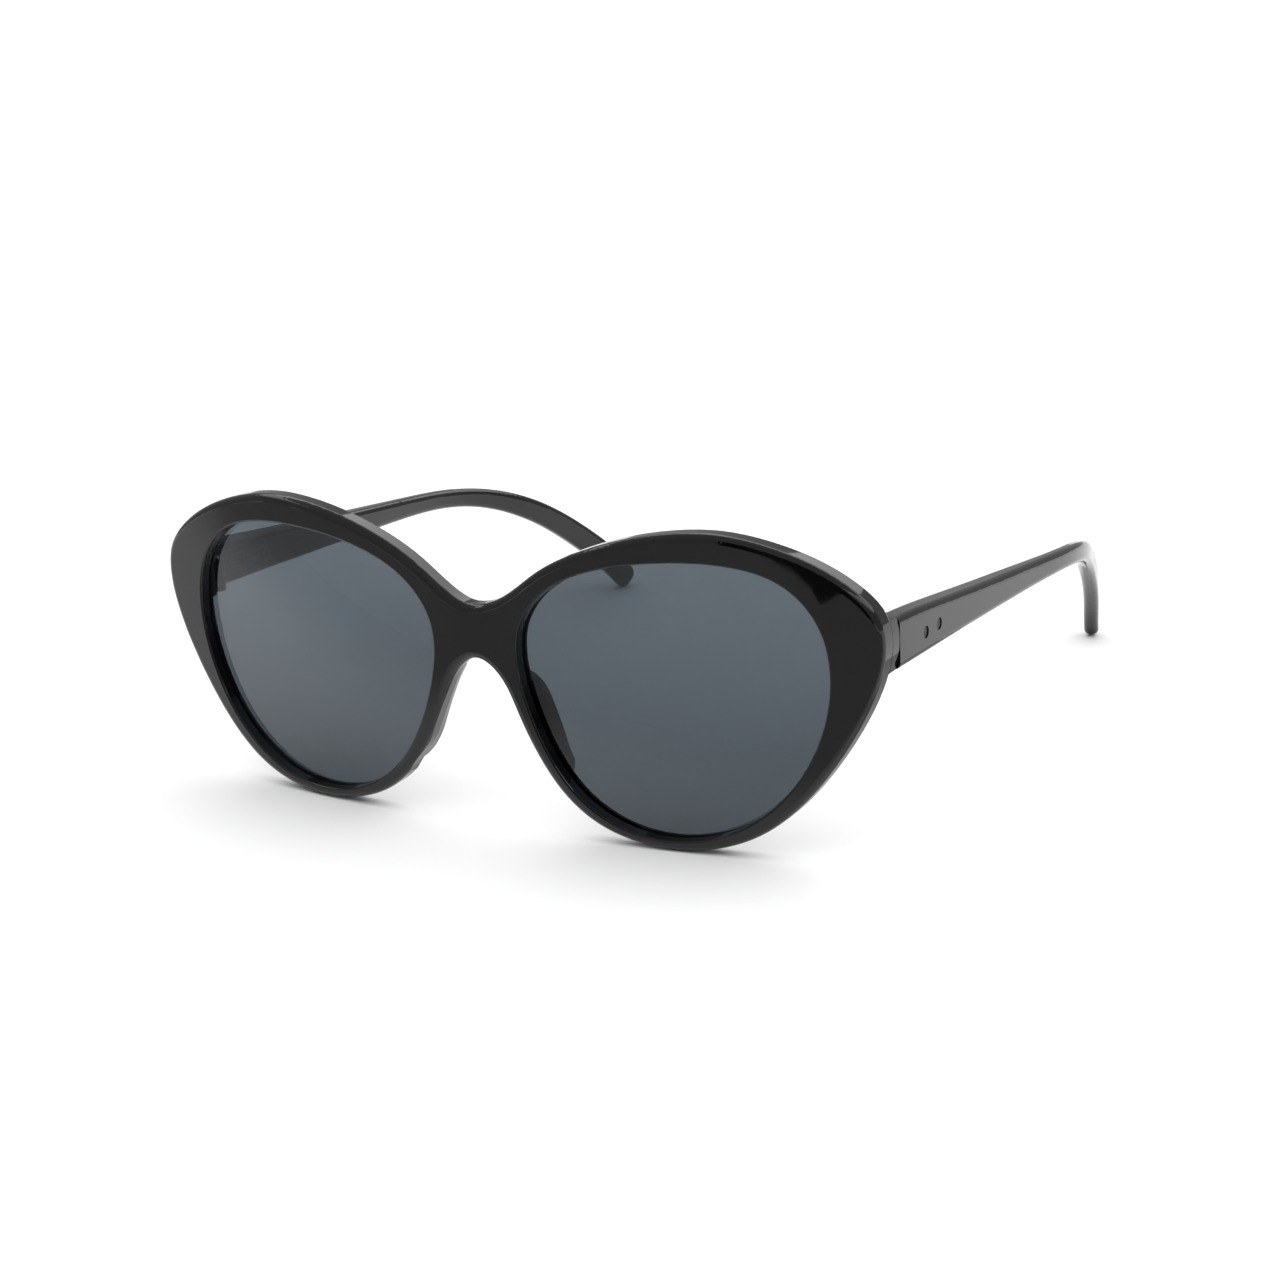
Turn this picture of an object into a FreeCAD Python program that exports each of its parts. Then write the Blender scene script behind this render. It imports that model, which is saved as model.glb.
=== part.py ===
"""Cat eye sunglasses: a moulded front with two tinted lenses, bonded nose pads, and two folding
temples on three-barrel screw hinges.

Millimetres. X runs across the face (+X is the wearer's left), Y runs back from the front towards
the ears, Z is up. While the parts are made, Y = 0 touches the middle of the bridge and Z = 0 is
the table under the rims. Everything is moved to a shared origin at the end: the centre of the
bounding box, on the table. Each paired piece is designed on the +X side and mirrored.
"""
import FreeCAD, Part
import math
import os

V = FreeCAD.Vector

# ---------------------------------------------------------------- driving dimensions
HALF_WIDTH = 69.5            # middle of the bridge to the outside of an endpiece
FRONT_RADIUS = 300.0         # curve of the front across the face, about a vertical axis
FRONT_THICKNESS = 4.1
FRONT_EDGE_ROUND = 1.3       # outer front edge of the rims and bridge
REAR_EDGE_ROUND = 0.6
APERTURE_ROUND = 0.35        # front edge around each lens

LENS_DEPTH = 2.0             # face of the front to the face of the lens
LENS_THICKNESS = 1.5
GROOVE_DEPTH = 0.8           # how far the groove goes into the rim beyond the opening
GROOVE_CLEARANCE = 0.02

ENDPIECE_INNER_X = 62.0
ENDPIECE_OVERLAP = 0.55      # how far it is let into the back of the rim, behind the lens groove
ENDPIECE_BOTTOM_Z = 31.0
ENDPIECE_TOP_Z = 39.4
JOINT_LINE_Y = 14.2          # rear face of the endpiece, where the temple meets it
JOINT_GAP = 0.25
HINGE_RECESS_Y = 12.6        # rear face of the endpiece behind the hinge plate
HINGE_RECESS_X = 65.0

HINGE_X = 63.2               # hinge axis
HINGE_Y = 14.4
HINGE_Z = 34.3               # middle of the three barrels
BARREL_RADIUS = 1.5
BARREL_HEIGHT = 1.9
BARREL_GAP = 0.06
SCREW_RADIUS = 0.70
THREAD_CLEARANCE = 0.01
BORE_CLEARANCE = 0.04
SCREW_HEAD_RADIUS = 1.15
SCREW_HEAD_HEIGHT = 0.9
SCREW_HEAD_SINK = 0.5
SCREW_HEAD_ROUND = 0.2
SCREW_SLOT_WIDTH = 0.3
SCREW_SLOT_DEPTH = 0.4

PLATE_THICKNESS = 1.0
PLATE_MARGIN = 0.2           # front plate to the wall of its recess
ANCHOR_WIDTH = 1.4           # block on the front plate, sunk in the endpiece
ANCHOR_DEPTH = 2.6
ANCHOR_HEIGHT = 3.2
TEMPLE_PLATE_START_Y = 16.4
TEMPLE_PLATE_LENGTH = 16.0
TEMPLE_PLATE_HEIGHT = 4.4

RIVET_Y = (24.4, 29.6)       # two rivets through each temple
RIVET_SHANK_RADIUS = 0.6
RIVET_HEAD_RADIUS = 1.0
RIVET_HEAD_HEIGHT = 0.5
RIVET_HEAD_SINK = 0.15
RIVET_TAIL_RADIUS = 0.95
RIVET_TAIL_HEIGHT = 0.3

CORE_WIRE_RADIUS = 0.6
CORE_WIRE_CLEARANCE = 0.03

# ---------------------------------------------------------------- outlines, seen from the front
# Half of the front: middle of the bridge, over the brow, round the rim, back to the bridge.
OUTLINE = [(0.0, 38.2), (5.1, 39.8), (11.9, 44.6), (18.9, 48.2), (26.9, 50.9), (35.2, 52.5), (43.2, 52.8),
           (50.8, 51.5), (58.2, 48.9), (64.7, 45.0), (68.6, 40.6), (HALF_WIDTH, 35.4), (68.1, 28.8),
           (64.7, 21.5), (59.9, 14.1), (54.6, 8.0), (48.8, 3.6), (42.3, 1.0), (35.1, 0.0), (27.8, 0.7),
           (21.1, 3.0), (15.7, 7.0), (11.3, 12.7), (7.2, 20.8), (3.6, 27.2), (0.0, 29.1)]

# Nose side of the rim from below the nose up to the bridge, and how far each point has moved out at
# the back. The first two points lie outside the rim and cut nothing.
NOSE_SIDE = [(24.0, 1.2), (18.0, 4.6), (15.7, 7.0), (11.3, 12.7), (9.2, 16.6), (7.2, 20.8), (5.6, 24.2),
             (3.6, 27.2), (0.0, 29.1)]
NOSE_SPLAY = [-2.0, -1.2, 0.1, 1.2, 1.8, 2.1, 2.0, 1.5, 0.5]
NOSE_SPLAY_START = -1.5      # ahead of the face, where every point is still inside the opening
NOSE_SPLAY_INSET = 0.4
NOSE_SPLAY_RIM_SHARE = 0.25  # how much of the spread is reached at the back of the rim
NOSE_SPLAY_END = 8.5

APERTURE = [(8.8, 25.5), (12.8, 14.9), (18.9, 7.1), (27.3, 2.7), (37.1, 2.0), (46.5, 5.1), (54.2, 11.6),
            (59.3, 20.7), (61.1, 30.7), (59.2, 39.4), (53.9, 45.2), (44.6, 47.9), (32.9, 47.7),
            (21.5, 45.5), (12.8, 40.9), (8.5, 34.4)]

# Nose pad: outline where it meets the rim, and a smaller one at its back, leaning away from the nose.
PAD_FOOT = [(4.0, 26.2), (6.6, 27.0), (8.6, 24.6), (10.4, 20.4), (12.0, 15.8), (13.4, 11.6),
            (13.9, 9.4), (12.6, 8.8), (9.0, 12.6), (6.0, 17.6), (4.0, 22.4)]
PAD_HEIGHT = 2.9
PAD_LEAN = 1.3
# depth as a share of the pad height, lean as a share of the full lean, size as a share of the foot
PAD_LEVELS = ((-0.35, 0.0, 1.0), (0.55, 0.6, 0.97), (1.0, 1.0, 0.8))

# ---------------------------------------------------------------- temple, as sections along its length
# distance behind the front, outward, up, height and thickness of the section
TEMPLE_SECTIONS = [
    (JOINT_LINE_Y + JOINT_GAP, 67.3, 35.1, 8.4, 4.4),
    (30.0, 67.4, 34.3, 7.4, 4.3),
    (48.0, 67.5, 33.1, 5.9, 4.1),
    (65.0, 67.7, 32.0, 4.8, 3.6),
    (82.0, 67.9, 30.8, 3.9, 3.1),
    (94.0, 67.4, 29.6, 3.7, 3.0),
    (103.0, 66.0, 27.9, 3.9, 3.0),
    (111.5, 63.8, 25.1, 4.3, 3.0),
    (120.0, 61.4, 20.9, 4.7, 3.0),
    (128.5, 59.0, 15.2, 5.0, 3.0),
    (136.5, 56.3, 8.5, 5.2, 3.0),
    (142.2, 54.3, 2.45, 5.1, 2.9),
]
TEMPLE_CORNER = 1.1
TIP_ROUND_STEPS = ((0.8, 0.93), (1.5, 0.76), (1.95, 0.5))    # beyond the last section, share of its size

# Core wire: low enough at the front to pass under the rivets, then down the middle of the temple.
CORE_WIRE_PATH = [(15.4, 67.4, 32.2), (30.0, 67.5, 32.0), (48.0, 67.5, 32.2), (65.0, 67.7, 31.8),
                  (82.0, 67.9, 30.8), (94.0, 67.4, 29.6), (103.0, 66.0, 27.9), (111.5, 63.8, 25.1),
                  (120.0, 61.4, 20.9), (128.5, 59.0, 15.2), (134.0, 57.2, 10.8)]


# ---------------------------------------------------------------- helpers
def point(xz, y=0.0):
    return V(xz[0], y, xz[1])


def open_spline(points):
    curve = Part.BSplineCurve()
    curve.interpolate(points)
    return curve.toShape()


def closed_spline(points, pieces=4):
    """One smooth closed curve through the points, as a wire of equal pieces."""
    curve = Part.BSplineCurve()
    curve.interpolate(Points=points, PeriodicFlag=True)
    start, end = curve.FirstParameter, curve.LastParameter
    edges = []
    for index in range(pieces):
        piece = curve.copy()
        piece.segment(start + (end - start) * index / pieces, start + (end - start) * (index + 1) / pieces)
        edges.append(piece.toShape())
    return Part.Wire(edges)


def mirrored(shape):
    return shape.mirror(V(0, 0, 0), V(1, 0, 0))


def box(x, y, z):
    """Box from three (low, high) pairs."""
    return Part.makeBox(x[1] - x[0], y[1] - y[0], z[1] - z[0], V(x[0], y[0], z[0]))


def behind_face(depth):
    """Everything deeper than this behind the curved face of the front."""
    return Part.makeCylinder(FRONT_RADIUS - depth, 80, V(0, FRONT_RADIUS, -10))


def curved_shell(near, far):
    """The space between two depths behind the curved face of the front."""
    front_half = box((-90, 90), (-10, 60), (-10, 70))
    return behind_face(near).cut(behind_face(far)).common(front_half)


def through(wire, start=-5.0, length=40.0):
    """Solid made by running a flat outline straight back."""
    face = Part.Face(wire)
    face.translate(V(0, start, 0))
    return face.extrude(V(0, length, 0))


def rounded_edges(solid, radius, choose):
    """Round the edges for which choose(edge) is true."""
    edges = [edge for edge in solid.Edges if choose(edge)]
    return solid.makeFillet(radius, edges)


def biggest_solid(shape):
    return max(shape.Solids, key=lambda solid: solid.Volume)


# ---------------------------------------------------------------- front
def front_outline():
    right = [point(p) for p in OUTLINE]
    left = [point((-x, z)) for x, z in reversed(OUTLINE[1:-1])]
    return closed_spline(right + left)


def aperture_wire(grow=0.0):
    """Outline of the lens opening, or the same outline a little larger all round."""
    points = [point(p) for p in APERTURE]
    curve = Part.BSplineCurve()
    curve.interpolate(Points=points, PeriodicFlag=True)
    grown = []
    for spot in points:
        along = curve.tangent(curve.parameter(spot))[0]
        outward = V(along.z, 0, -along.x)
        grown.append(spot + outward * grow)
    return closed_spline(grown)


def nose_section(y, shares):
    """Nose opening at one depth: both nose sides as one smooth arch, closed below the rims."""
    right = [point((x + share, z), y) for (x, z), share in zip(NOSE_SIDE[:-1], shares)]
    top = point((0.0, NOSE_SIDE[-1][1] + shares[-1]), y)
    left = [V(-p.x, p.y, p.z) for p in reversed(right)]
    closing = Part.LineSegment(left[-1], right[0]).toShape()
    return Part.Wire([open_spline(right + [top] + left), closing])


def nose_opening():
    """Wedge that spreads the nose side of both rims and the pads towards the back."""
    inset = [-NOSE_SPLAY_INSET + min(share, 0.0) for share in NOSE_SPLAY]
    rim_back = [min(share, NOSE_SPLAY_RIM_SHARE * share) for share in NOSE_SPLAY]
    sections = [nose_section(NOSE_SPLAY_START, inset), nose_section(FRONT_THICKNESS, rim_back),
                nose_section(NOSE_SPLAY_END, NOSE_SPLAY)]
    return Part.makeLoft(sections, True, True)


def near_depth(edge, depth):
    """True for an edge that lies all along one depth behind the curved face."""
    radius = FRONT_RADIUS - depth
    for vertex in edge.discretize(9):
        if abs(math.hypot(vertex.x, FRONT_RADIUS - vertex.y) - radius) > 0.02:
            return False
    return True


def aperture_cut():
    solid = through(aperture_wire())
    return [solid, mirrored(solid)]


def groove():
    wire = aperture_wire(GROOVE_DEPTH + GROOVE_CLEARANCE)
    shell = curved_shell(LENS_DEPTH - GROOVE_CLEARANCE, LENS_DEPTH + LENS_THICKNESS + GROOVE_CLEARANCE)
    solid = through(wire).common(shell)
    return [solid, mirrored(solid)]


def endpiece():
    """Block behind the outer end of the rim, recessed on its inner side for the hinge plate."""
    outline = through(front_outline(), 0.0, JOINT_LINE_Y)
    zone = box((ENDPIECE_INNER_X, HALF_WIDTH + 1), (0.0, JOINT_LINE_Y),
               (ENDPIECE_BOTTOM_Z, ENDPIECE_TOP_Z))
    recess = box((ENDPIECE_INNER_X - 1, HINGE_RECESS_X), (HINGE_RECESS_Y, JOINT_LINE_Y + 1),
                 (ENDPIECE_BOTTOM_Z - 1, ENDPIECE_TOP_Z + 1))
    return outline.common(zone).common(behind_face(FRONT_THICKNESS - ENDPIECE_OVERLAP)).cut(recess)


def front_frame():
    plate = through(front_outline()).common(curved_shell(0.0, FRONT_THICKNESS))
    plate = rounded_edges(plate, FRONT_EDGE_ROUND, lambda edge: near_depth(edge, 0.0))
    plate = rounded_edges(plate, REAR_EDGE_ROUND, lambda edge: near_depth(edge, FRONT_THICKNESS))
    apertures = aperture_cut()
    plate = plate.cut(apertures)
    lens_hole = Part.makeCompound(apertures)
    plate = rounded_edges(plate, APERTURE_ROUND,
                          lambda edge: near_depth(edge, 0.0) and edge.distToShape(lens_hole)[0] < 0.01)
    plate = plate.cut(groove())
    block = endpiece()
    plate = plate.fuse([block, mirrored(block)])
    plate = plate.cut(nose_opening())
    hinge = hinge_front_metal()
    return biggest_solid(plate.cut([hinge, mirrored(hinge)]))


def lens():
    wire = aperture_wire(GROOVE_DEPTH)
    return biggest_solid(through(wire).common(curved_shell(LENS_DEPTH, LENS_DEPTH + LENS_THICKNESS)))


def nose_pad():
    """Pad bonded behind the rim beside the nose, cut to the rim and to the spread of the nose side."""
    middle = V(0, 0, 0)
    for p in PAD_FOOT:
        middle += point(p)
    middle = middle * (1.0 / len(PAD_FOOT))
    wires = []
    for rise, lean, share in PAD_LEVELS:
        depth = FRONT_THICKNESS + rise * PAD_HEIGHT
        points = []
        for p in PAD_FOOT:
            spot = middle + (point(p) - middle) * share
            points.append(V(spot.x + lean * PAD_LEAN, depth, spot.z))
        wires.append(closed_spline(points))
    pad = Part.makeLoft(wires, True, False)
    return biggest_solid(pad.cut(nose_opening()).common(behind_face(FRONT_THICKNESS)))


# ---------------------------------------------------------------- hinges
def barrel(level):
    """One barrel of the hinge: level -1 is the lowest, 1 the highest."""
    low = HINGE_Z + level * (BARREL_HEIGHT + BARREL_GAP) - BARREL_HEIGHT / 2
    return Part.makeCylinder(BARREL_RADIUS, BARREL_HEIGHT, V(HINGE_X, HINGE_Y, low)), low


def screw_hole(radius, low, height):
    return Part.makeCylinder(radius, height, V(HINGE_X, HINGE_Y, low))


def hinge_front_metal():
    """Front half without its holes: two barrels on a plate with an anchor sunk in the endpiece."""
    half_height = 1.5 * BARREL_HEIGHT + BARREL_GAP
    plate = box((ENDPIECE_INNER_X + PLATE_MARGIN, HINGE_RECESS_X - PLATE_MARGIN),
                (HINGE_RECESS_Y - PLATE_THICKNESS, HINGE_RECESS_Y),
                (HINGE_Z - half_height, HINGE_Z + half_height))
    anchor = box((HINGE_X - ANCHOR_WIDTH / 2, HINGE_X + ANCHOR_WIDTH / 2),
                 (HINGE_RECESS_Y - ANCHOR_DEPTH, HINGE_RECESS_Y - PLATE_THICKNESS / 2),
                 (HINGE_Z - ANCHOR_HEIGHT / 2, HINGE_Z + ANCHOR_HEIGHT / 2))
    metal = plate.fuse(anchor)
    for level in (-1, 1):
        ring, low = barrel(level)
        web = box((HINGE_X - 0.6 * BARREL_RADIUS, HINGE_X + 0.6 * BARREL_RADIUS),
                  (HINGE_RECESS_Y - PLATE_MARGIN, HINGE_Y), (low, low + BARREL_HEIGHT))
        metal = metal.fuse([ring, web])
    return metal.removeSplitter()


def hinge_front():
    metal = hinge_front_metal()
    top_ring, top_low = barrel(1)
    bottom_ring, bottom_low = barrel(-1)
    threaded = screw_hole(SCREW_RADIUS + THREAD_CLEARANCE, bottom_low - 1, BARREL_HEIGHT + 2)
    plain = screw_hole(SCREW_RADIUS + BORE_CLEARANCE, top_low - 1, BARREL_HEIGHT + 2)
    seat = screw_hole(SCREW_HEAD_RADIUS + BORE_CLEARANCE, top_low + BARREL_HEIGHT - SCREW_HEAD_SINK, 2)
    return biggest_solid(metal.cut([threaded, plain, seat]))


def temple_inner_x():
    y, x, z, height, thickness = TEMPLE_SECTIONS[0]
    return x - thickness / 2


def temple_plate():
    """Long plate let into the inner face of the temple, with rounded ends."""
    half = TEMPLE_PLATE_HEIGHT / 2
    low_x = temple_inner_x() - PLATE_THICKNESS / 2
    end_y = TEMPLE_PLATE_START_Y + TEMPLE_PLATE_LENGTH
    bar = box((low_x, low_x + PLATE_THICKNESS), (TEMPLE_PLATE_START_Y, end_y - half),
              (HINGE_Z - half, HINGE_Z + half))
    tail = Part.makeCylinder(half, PLATE_THICKNESS, V(low_x, end_y - half, HINGE_Z), V(1, 0, 0))
    return bar.fuse(tail).removeSplitter()


def hinge_temple():
    ring, low = barrel(0)
    inner_x = temple_inner_x()
    web = box((HINGE_X - 0.3, inner_x), (HINGE_Y, TEMPLE_PLATE_START_Y + 1.5), (low, low + BARREL_HEIGHT))
    metal = ring.fuse([web, temple_plate()])
    holes = [screw_hole(SCREW_RADIUS + BORE_CLEARANCE, low - 1, BARREL_HEIGHT + 2)]
    holes += [rivet_bore(y, RIVET_SHANK_RADIUS + THREAD_CLEARANCE) for y in RIVET_Y]
    return biggest_solid(metal.cut(holes).removeSplitter())


def hinge_screw():
    """Screw from the top barrel down into the threaded lower one, with a slotted head."""
    top_ring, top_low = barrel(1)
    bottom_ring, bottom_low = barrel(-1)
    head_low = top_low + BARREL_HEIGHT - SCREW_HEAD_SINK
    shank = Part.makeCylinder(SCREW_RADIUS, head_low - bottom_low, V(HINGE_X, HINGE_Y, bottom_low))
    head = Part.makeCylinder(SCREW_HEAD_RADIUS, SCREW_HEAD_HEIGHT, V(HINGE_X, HINGE_Y, head_low))
    head_top = head_low + SCREW_HEAD_HEIGHT
    head = rounded_edges(head, SCREW_HEAD_ROUND,
                         lambda edge: edge.BoundBox.ZMin > head_top - SCREW_HEAD_ROUND)
    slot = box((HINGE_X - 2, HINGE_X + 2), (HINGE_Y - SCREW_SLOT_WIDTH / 2, HINGE_Y + SCREW_SLOT_WIDTH / 2),
               (head_top - SCREW_SLOT_DEPTH, head_top + 1))
    return biggest_solid(shank.fuse(head).cut(slot).removeSplitter())


def across(radius, start_x, y, length):
    """Cylinder running outwards at the height of the hinge."""
    return Part.makeCylinder(radius, length, V(start_x, y, HINGE_Z), V(1, 0, 0))


def rivet_bore(y, radius):
    return across(radius, HINGE_X - 5, y, 20)


def temple_outer_x(y):
    """Outside face of the temple beside the hinge, between the first two sections."""
    first, second = TEMPLE_SECTIONS[0], TEMPLE_SECTIONS[1]
    share = (y - first[0]) / (second[0] - first[0])
    return first[1] + first[4] / 2 + share * (second[1] + second[4] / 2 - first[1] - first[4] / 2)


def rivet(y):
    """Head just under the outside face, shank through temple and plate, tail spread on the plate."""
    outer = temple_outer_x(y) - RIVET_HEAD_SINK
    plate_face = temple_inner_x() - PLATE_THICKNESS / 2
    head = across(RIVET_HEAD_RADIUS, outer - RIVET_HEAD_HEIGHT, y, RIVET_HEAD_HEIGHT)
    shank = across(RIVET_SHANK_RADIUS, plate_face, y, outer - plate_face - RIVET_HEAD_HEIGHT / 2)
    tail = across(RIVET_TAIL_RADIUS, plate_face - RIVET_TAIL_HEIGHT, y, RIVET_TAIL_HEIGHT)
    return biggest_solid(head.fuse([shank, tail]).removeSplitter())


# ---------------------------------------------------------------- temples
def directions(path):
    """Unit tangents at the points of a path, from one smooth curve through them."""
    curve = Part.BSplineCurve()
    curve.interpolate(Points=path)
    tangents = []
    for spot in path:
        tangent = curve.tangent(curve.parameter(spot))[0]
        tangents.append(tangent)
    return tangents


def frame_at(tangent):
    """Outward and upward directions square to a path that runs back and down."""
    out = tangent.cross(V(0, 0, 1))
    out.normalize()
    up = out.cross(tangent)
    up.normalize()
    return out, up


def section_wire(centre, out, up, width, height, corner):
    """Rounded rectangle square to the path."""
    corner = min(corner, 0.46 * width, 0.46 * height)
    half_w, half_h = width / 2, height / 2
    diagonal = corner * (1 - math.sqrt(0.5))

    def at(across, rise):
        return centre + out * across + up * rise

    edges = []
    signs = ((1, 1), (-1, 1), (-1, -1), (1, -1))
    for index, (sx, sz) in enumerate(signs):
        beside = at(sx * half_w, sz * (half_h - corner))
        above = at(sx * (half_w - corner), sz * half_h)
        middle = at(sx * (half_w - diagonal), sz * (half_h - diagonal))
        first, last = (beside, above) if sx * sz > 0 else (above, beside)
        edges.append(Part.Arc(first, middle, last).toShape())
        next_sx, next_sz = signs[(index + 1) % 4]
        if next_sz == sz:
            following = at(next_sx * (half_w - corner), next_sz * half_h)
        else:
            following = at(next_sx * half_w, next_sz * (half_h - corner))
        edges.append(Part.LineSegment(last, following).toShape())
    return Part.Wire(edges)


def temple_blank():
    path = [V(x, y, z) for y, x, z, height, thickness in TEMPLE_SECTIONS]
    tangents = directions(path)
    tangents[0] = V(0, 1, 0)
    wires = []
    for spot, tangent, (y, x, z, height, thickness) in zip(path, tangents, TEMPLE_SECTIONS):
        out, up = frame_at(tangent)
        wires.append(section_wire(spot, out, up, thickness, height, TEMPLE_CORNER))
    arm = Part.makeLoft(wires, True, False)
    tip = [wires[-1]]
    out, up = frame_at(tangents[-1])
    for beyond, share in TIP_ROUND_STEPS:
        spot = path[-1] + tangents[-1] * beyond
        height, thickness = TEMPLE_SECTIONS[-1][3:]
        tip.append(section_wire(spot, out, up, thickness * share, height * share, TEMPLE_CORNER))
    return arm.fuse(Part.makeLoft(tip, True, False))


def wire_along(path, radius):
    spots = [V(x, y, z) for y, x, z in path]
    wires = []
    for spot, tangent in zip(spots, directions(spots)):
        wires.append(Part.Wire([Part.makeCircle(radius, spot, tangent)]))
    return Part.makeLoft(wires, True, False)


def core_wire():
    return biggest_solid(wire_along(CORE_WIRE_PATH, CORE_WIRE_RADIUS))


def temple():
    bore = CORE_WIRE_RADIUS + CORE_WIRE_CLEARANCE
    mouth_y, mouth_x, mouth_z = CORE_WIRE_PATH[0]
    mouth = Part.makeCylinder(bore, 3, V(mouth_x, mouth_y + 0.2, mouth_z), V(0, -1, 0))
    cuts = [wire_along(CORE_WIRE_PATH, bore), mouth, temple_plate()]
    for y in RIVET_Y:
        cuts.append(rivet_bore(y, RIVET_SHANK_RADIUS + THREAD_CLEARANCE))
        seat_floor = temple_outer_x(y) - RIVET_HEAD_SINK - RIVET_HEAD_HEIGHT
        cuts.append(across(RIVET_HEAD_RADIUS + THREAD_CLEARANCE, seat_floor, y, 3))
    return biggest_solid(temple_blank().cut(cuts))


# ---------------------------------------------------------------- assembly
def build():
    paired = {
        "lens": lens(),
        "nose_pad": nose_pad(),
        "hinge_front": hinge_front(),
        "hinge_temple": hinge_temple(),
        "hinge_screw": hinge_screw(),
        "temple": temple(),
        "core_wire": core_wire(),
        "temple_rivet_front": rivet(RIVET_Y[0]),
        "temple_rivet_rear": rivet(RIVET_Y[1]),
    }
    parts = {"front_frame": front_frame()}
    for name, shape in paired.items():
        parts[name + "_left"] = shape
        parts[name + "_right"] = mirrored(shape)
    return parts


def main():
    parts = build()
    extent = Part.makeCompound(list(parts.values())).optimalBoundingBox(False, False)
    move = V(-extent.Center.x, -extent.Center.y, -extent.ZMin)
    os.makedirs("parts", exist_ok=True)
    for name, shape in parts.items():
        placed = shape.copy()
        placed.translate(move)
        placed.exportStep("parts/" + name + ".step")
        print(name, "valid", placed.isValid(), "solids", len(placed.Solids),
              "volume", round(placed.Volume, 1))
    print("moved by", move, "size", extent.XLength, extent.YLength, extent.ZLength)
    hinge = V(HINGE_X, HINGE_Y, HINGE_Z) + move
    print("hinge axis", hinge)


main()
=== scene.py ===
"""Cat eye sunglasses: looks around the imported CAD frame. Metres, in the CAD's own frame: +X is the
wearer's left, +Y runs back along the temples, +Z is up from the table.
"""

import math

import bpy
from mathutils import Matrix, Vector


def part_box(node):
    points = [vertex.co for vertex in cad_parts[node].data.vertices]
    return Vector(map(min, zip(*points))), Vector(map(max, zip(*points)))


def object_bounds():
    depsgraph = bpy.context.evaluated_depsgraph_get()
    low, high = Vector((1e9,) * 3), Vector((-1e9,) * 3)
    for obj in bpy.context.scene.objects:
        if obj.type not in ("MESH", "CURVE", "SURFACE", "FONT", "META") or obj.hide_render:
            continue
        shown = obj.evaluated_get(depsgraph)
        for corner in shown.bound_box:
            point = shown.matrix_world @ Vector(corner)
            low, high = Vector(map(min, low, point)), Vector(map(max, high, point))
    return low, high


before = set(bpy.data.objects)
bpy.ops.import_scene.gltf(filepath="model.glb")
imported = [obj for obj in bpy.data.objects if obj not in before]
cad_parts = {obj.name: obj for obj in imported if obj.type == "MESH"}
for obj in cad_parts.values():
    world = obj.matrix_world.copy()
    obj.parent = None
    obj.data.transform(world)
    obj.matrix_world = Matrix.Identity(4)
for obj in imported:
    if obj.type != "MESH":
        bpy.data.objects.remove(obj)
cad_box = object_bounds()

MM = 0.001
SIDES = ("left", "right")

# The camera, in the CAD frame.
CAMERA_PLACE = Vector((227.8, -410.7, 150.4)) * MM
CAMERA_AZIMUTH = math.radians(30.12)
CAMERA_ELEVATION = math.radians(16.33)
CAMERA_ROLL = math.radians(-2.65)
FOCAL_LENGTH = 73.1          # for a 36 mm wide sensor

# Light: a grey sky, one very wide softbox overhead, and a pale floor.
SKY_STRENGTH = 0.45
SOFTBOX_STRENGTH = 3.3
SOFTBOX_SPREAD = math.radians(110)
SOFTBOX_TILT = (math.radians(-8), math.radians(4), 0)
FLOOR_HALF_SIZE = 6.0
FLOOR_GAP = 0.0001           # below the lowest point of the piece
FLOOR_DARK = (0.86, 0.86, 0.86)
FLOOR_LIGHT = (0.88, 0.88, 0.88)

# Cards that only the gloss sees: corners in millimetres, and how bright each one is.
GREY_CARD = [(-600, -1200, 1), (600, -1200, 1), (600, -66, 1), (-600, -66, 1)]
GREY_CARD_FADE = (-124, -80)
FADE_SLANT = math.radians(-14)
FLAG_FLAT = [(-7, -420, 2), (19, -258, 2), (30, -250, 2), (41, -237, 2), (48, -224, 2), (53, -212, 2),
             (58, -217, 2), (66, -220, 2), (84, -250, 2), (120, -420, 2)]
FLAG_UPRIGHT = [(-10, -420, 0), (300, -420, 0), (300, -420, 700), (-10, -420, 700)]
UNDER_CARD = [(-40, -62, 1), (96, -62, 1), (96, 24, 1), (-40, 24, 1)]
TOP_CARD = [(-260, -415, 330), (300, -415, 330), (300, 120, 330), (-260, 120, 330)]
GREY_CARD_LEVEL = 0.50
UNDER_CARD_LEVEL = 0.62
TOP_CARD_LEVEL = 0.50
BLACK = 0.0
CARD_UNEVENNESS = 0.04

# Acetate and lens.
ACETATE_DARK = (0.0015, 0.0015, 0.0017)
ACETATE_LIGHT = (0.0035, 0.0035, 0.0038)
LENS_TINT_LOW = (0.048, 0.062, 0.074, 1)
LENS_TINT_HIGH = (0.088, 0.108, 0.126, 1)


# ---------------------------------------------------------------- materials
def new_material(name, **settings):
    """Principled material with its constant settings given by socket name."""
    material = bpy.data.materials.new(name)
    material.use_nodes = True
    shader = material.node_tree.nodes["Principled BSDF"]
    for socket, value in settings.items():
        shader.inputs[socket.replace("_", " ")].default_value = value
    return material, material.node_tree, shader


def add_noise(tree, scale, detail=3.0, stretch=(1, 1, 1)):
    """Noise over the piece's own coordinates, in features per metre."""
    place = tree.nodes.new("ShaderNodeTexCoord")
    shape = tree.nodes.new("ShaderNodeMapping")
    shape.inputs["Scale"].default_value = stretch
    noise = tree.nodes.new("ShaderNodeTexNoise")
    noise.inputs["Scale"].default_value = scale
    noise.inputs["Detail"].default_value = detail
    tree.links.new(place.outputs["Object"], shape.inputs["Vector"])
    tree.links.new(shape.outputs["Vector"], noise.inputs["Vector"])
    return noise


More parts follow.
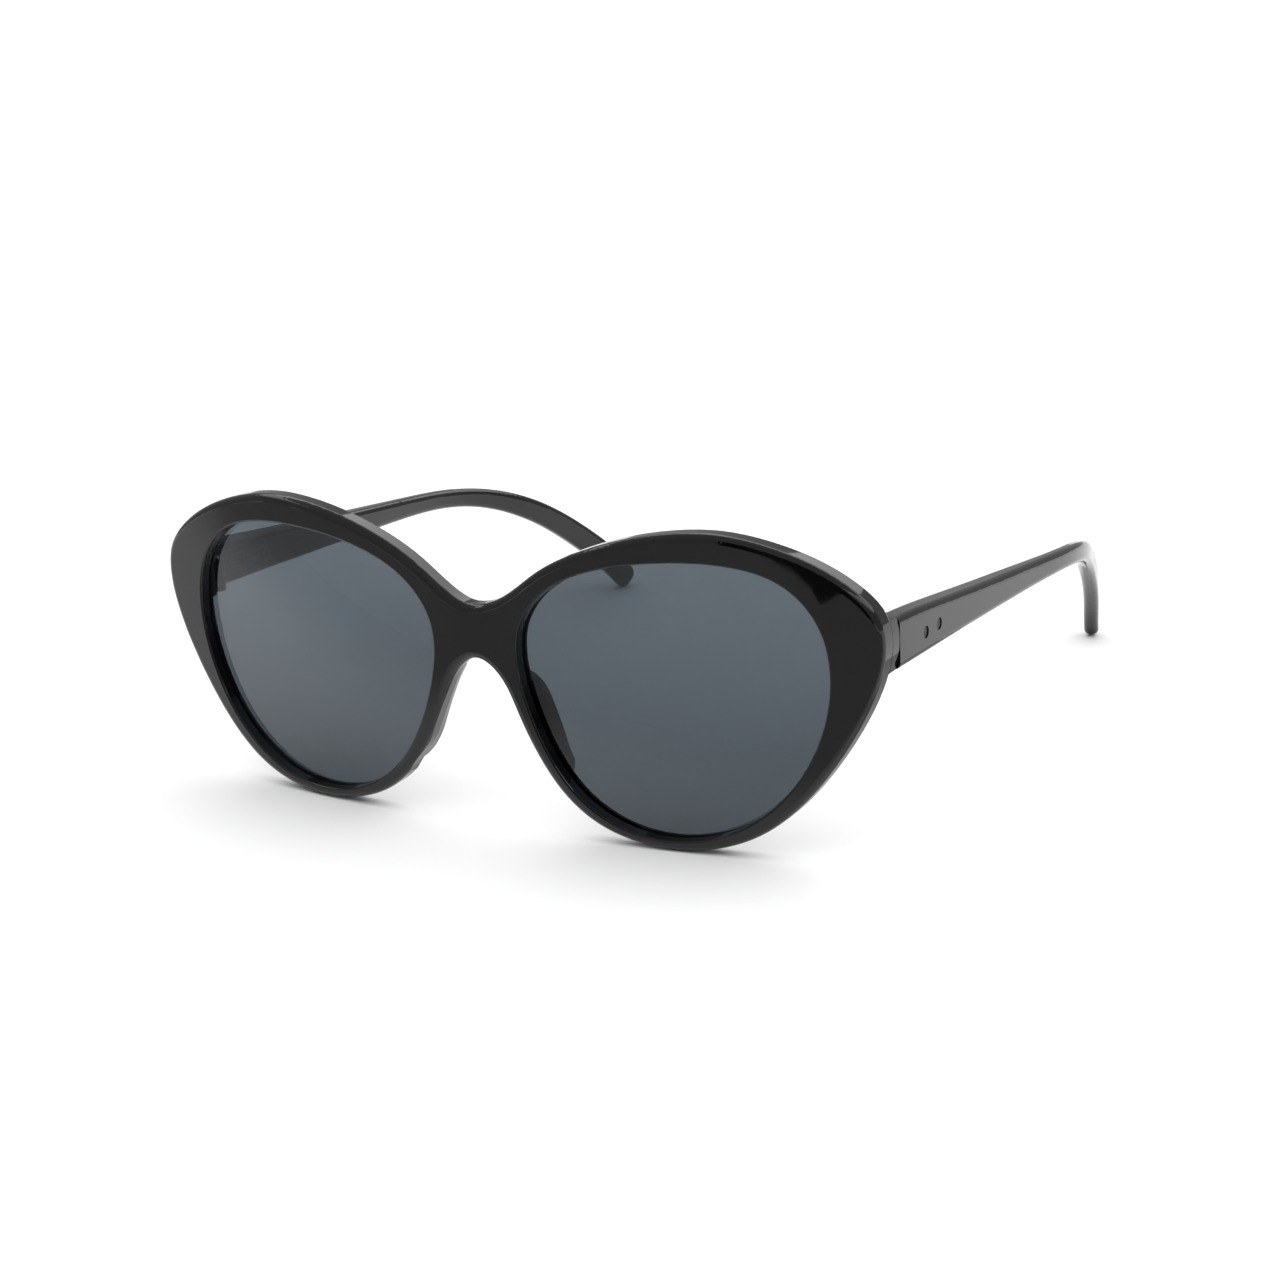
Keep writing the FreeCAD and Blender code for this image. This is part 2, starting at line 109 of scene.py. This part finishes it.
def vary_number(tree, noise, socket, low, high):
    """Drives a shader number between low and high from the noise."""
    spread = tree.nodes.new("ShaderNodeMapRange")
    spread.inputs["From Min"].default_value = 0.3
    spread.inputs["From Max"].default_value = 0.7
    spread.inputs["To Min"].default_value = low
    spread.inputs["To Max"].default_value = high
    tree.links.new(noise.outputs["Fac"], spread.inputs["Value"])
    tree.links.new(spread.outputs["Result"], socket)


def vary_colour(tree, noise, socket, dark, light):
    ramp = tree.nodes.new("ShaderNodeValToRGB")
    ramp.color_ramp.elements[0].position = 0.3
    ramp.color_ramp.elements[0].color = (*dark, 1)
    ramp.color_ramp.elements[1].position = 0.7
    ramp.color_ramp.elements[1].color = (*light, 1)
    tree.links.new(noise.outputs["Fac"], ramp.inputs["Fac"])
    tree.links.new(ramp.outputs["Color"], socket)


def add_bump(tree, shader, noise, height, strength=1.0):
    bump = tree.nodes.new("ShaderNodeBump")
    bump.inputs["Distance"].default_value = height
    bump.inputs["Strength"].default_value = strength
    tree.links.new(noise.outputs["Fac"], bump.inputs["Height"])
    tree.links.new(bump.outputs["Normal"], shader.inputs["Normal"])


def black_acetate(name, roughness=(0.045, 0.09)):
    """Polished black plastic: a deep, faintly uneven black under a tumbled, slightly wavy gloss."""
    material, tree, shader = new_material(name, IOR=1.48)
    cloud = add_noise(tree, 90.0)
    vary_colour(tree, cloud, shader.inputs["Base Color"], ACETATE_DARK, ACETATE_LIGHT)
    haze = add_noise(tree, 700.0, 5.0)
    vary_number(tree, haze, shader.inputs["Roughness"], *roughness)
    add_bump(tree, shader, add_noise(tree, 120.0, 1.0), 0.00002)
    return material


def smoke_lens(name):
    """Grey-blue tinted lens, a little deeper in colour towards its lower edge."""
    material, tree, shader = new_material(name, IOR=1.5, Transmission_Weight=1.0)
    low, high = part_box("lens_left")
    place = tree.nodes.new("ShaderNodeTexCoord")
    split = tree.nodes.new("ShaderNodeSeparateXYZ")
    level = tree.nodes.new("ShaderNodeMapRange")
    level.inputs["From Min"].default_value = low.z
    level.inputs["From Max"].default_value = high.z
    level.interpolation_type = "SMOOTHSTEP"
    tint = tree.nodes.new("ShaderNodeValToRGB")
    tint.color_ramp.elements[0].color = LENS_TINT_LOW
    tint.color_ramp.elements[1].color = LENS_TINT_HIGH
    tree.links.new(place.outputs["Object"], split.inputs["Vector"])
    tree.links.new(split.outputs["Z"], level.inputs["Value"])
    tree.links.new(level.outputs["Result"], tint.inputs["Fac"])
    tree.links.new(tint.outputs["Color"], shader.inputs["Base Color"])
    film = add_noise(tree, 260.0, 4.0)
    vary_number(tree, film, shader.inputs["Roughness"], 0.0, 0.015)
    return material


def brushed_metal(name, dark, light, stretch, roughness=(0.2, 0.38)):
    """Steel with fine marks that run along one direction."""
    material, tree, shader = new_material(name, Metallic=1.0)
    marks = add_noise(tree, 2500.0, 4.0, stretch)
    vary_colour(tree, marks, shader.inputs["Base Color"], dark, light)
    vary_number(tree, marks, shader.inputs["Roughness"], *roughness)
    add_bump(tree, shader, marks, 0.000006)
    return material


def coat(node, material):
    """Gives a CAD node, or any piece, one material."""
    data = node.data
    data.materials.clear()
    data.materials.append(material)


ACETATE_FRONT = black_acetate("front acetate", (0.02, 0.05))
ACETATE_TEMPLE = black_acetate("temple acetate")
ACETATE_PAD = black_acetate("pad acetate", (0.07, 0.14))
LENS_SMOKE = smoke_lens("smoke lens")
HINGE_BLACK = brushed_metal("blackened hinge", (0.035, 0.035, 0.037), (0.060, 0.060, 0.063), (1, 0.08, 1))
SCREW_STEEL = brushed_metal("screw steel", (0.56, 0.55, 0.53), (0.74, 0.73, 0.71), (1, 1, 0.3))
CORE_STEEL = brushed_metal("core wire steel", (0.52, 0.51, 0.49), (0.68, 0.67, 0.64), (1, 0.05, 1))
RIVET_DARK = brushed_metal("dark rivet", (0.012, 0.012, 0.013), (0.030, 0.030, 0.032), (1, 1, 1),
                           (0.25, 0.4))


def finish_cad_nodes():
    coat(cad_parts["front_frame"], ACETATE_FRONT)
    finishes = {"lens": LENS_SMOKE, "nose_pad": ACETATE_PAD, "temple": ACETATE_TEMPLE,
                "hinge_front": HINGE_BLACK, "hinge_temple": HINGE_BLACK, "hinge_screw": SCREW_STEEL,
                "core_wire": CORE_STEEL, "temple_rivet_front": RIVET_DARK, "temple_rivet_rear": RIVET_DARK}
    for part, material in finishes.items():
        for side in SIDES:
            coat(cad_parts[part + "_" + side], material)


# ---------------------------------------------------------------- camera, floor and light
def place_camera():
    sin_a, cos_a = math.sin(CAMERA_AZIMUTH), math.cos(CAMERA_AZIMUTH)
    sin_e, cos_e = math.sin(CAMERA_ELEVATION), math.cos(CAMERA_ELEVATION)
    back = Vector((sin_a * cos_e, -cos_a * cos_e, sin_e))
    level = Vector((cos_a, sin_a, 0))
    right = level * math.cos(CAMERA_ROLL) + back.cross(level) * math.sin(CAMERA_ROLL)
    up = back.cross(right)
    turn = Matrix((right, up, back)).transposed().to_4x4()
    data = bpy.data.cameras.new("camera")
    data.lens = FOCAL_LENGTH
    data.clip_start = 0.01
    camera = bpy.data.objects.new("camera", data)
    camera.matrix_world = Matrix.Translation(CAMERA_PLACE) @ turn
    bpy.context.scene.collection.objects.link(camera)
    bpy.context.scene.camera = camera


def make_floor():
    half = FLOOR_HALF_SIZE
    corners = [(-half, -half, 0), (half, -half, 0), (half, half, 0), (-half, half, 0)]
    mesh = bpy.data.meshes.new("floor")
    mesh.from_pydata(corners, [], [(0, 1, 2, 3)])
    floor = bpy.data.objects.new("floor", mesh)
    floor.location.z = cad_box[0][2] - FLOOR_GAP
    bpy.context.scene.collection.objects.link(floor)
    material, tree, shader = new_material("pale floor", Roughness=0.6)
    vary_colour(tree, add_noise(tree, 6.0), shader.inputs["Base Color"], FLOOR_DARK, FLOOR_LIGHT)
    coat(floor, material)


def reflection_card(name, corners, brightness, fade=None):
    """Card that only the gloss sees. A fade turns it clear between two distances along a line a little
    off +Y, so that its edge makes no line in a reflection."""
    mesh = bpy.data.meshes.new(name)
    mesh.from_pydata([Vector(corner) * MM for corner in corners], [], [tuple(range(len(corners)))])
    card = bpy.data.objects.new(name, mesh)
    bpy.context.scene.collection.objects.link(card)
    material = bpy.data.materials.new(name)
    material.use_nodes = True
    tree = material.node_tree
    tree.nodes.clear()
    glow = tree.nodes.new("ShaderNodeEmission")
    output = tree.nodes.new("ShaderNodeOutputMaterial")
    vary_number(tree, add_noise(tree, 8.0), glow.inputs["Strength"],
                (1 - CARD_UNEVENNESS) * brightness, (1 + CARD_UNEVENNESS) * brightness)
    if fade:
        clear = tree.nodes.new("ShaderNodeBsdfTransparent")
        mix = tree.nodes.new("ShaderNodeMixShader")
        place = tree.nodes.new("ShaderNodeTexCoord")
        slant = tree.nodes.new("ShaderNodeMapping")
        slant.inputs["Rotation"].default_value = (0, 0, FADE_SLANT)
        split = tree.nodes.new("ShaderNodeSeparateXYZ")
        blend = tree.nodes.new("ShaderNodeMapRange")
        blend.interpolation_type = "SMOOTHSTEP"
        blend.inputs["From Min"].default_value = fade[0] * MM
        blend.inputs["From Max"].default_value = fade[1] * MM
        tree.links.new(place.outputs["Object"], slant.inputs["Vector"])
        tree.links.new(slant.outputs["Vector"], split.inputs["Vector"])
        tree.links.new(split.outputs["Y"], blend.inputs["Value"])
        tree.links.new(blend.outputs["Result"], mix.inputs["Fac"])
        tree.links.new(glow.outputs["Emission"], mix.inputs[1])
        tree.links.new(clear.outputs["BSDF"], mix.inputs[2])
        tree.links.new(mix.outputs["Shader"], output.inputs["Surface"])
    else:
        tree.links.new(glow.outputs["Emission"], output.inputs["Surface"])
    coat(card, material)
    for ray in ("camera", "diffuse", "transmission", "shadow"):
        setattr(card, "visible_" + ray, False)


def light_studio():
    world = bpy.data.worlds.new("studio")
    world.use_nodes = True
    sky = world.node_tree.nodes["Background"]
    sky.inputs["Color"].default_value = (1.0, 1.0, 1.0, 1.0)
    sky.inputs["Strength"].default_value = SKY_STRENGTH
    bpy.context.scene.world = world
    data = bpy.data.lights.new("softbox", "SUN")
    data.energy = SOFTBOX_STRENGTH
    data.angle = SOFTBOX_SPREAD
    lamp = bpy.data.objects.new("softbox", data)
    lamp.rotation_euler = SOFTBOX_TILT
    bpy.context.scene.collection.objects.link(lamp)
    reflection_card("grey table front", GREY_CARD, GREY_CARD_LEVEL, fade=GREY_CARD_FADE)
    reflection_card("black flag", FLAG_FLAT, BLACK)
    reflection_card("black flag upright", FLAG_UPRIGHT, BLACK)
    reflection_card("grey card under rim", UNDER_CARD, UNDER_CARD_LEVEL)
    reflection_card("grey card above", TOP_CARD, TOP_CARD_LEVEL)
    bpy.context.scene.view_settings.view_transform = "Standard"


finish_cad_nodes()
place_camera()
make_floor()
light_studio()
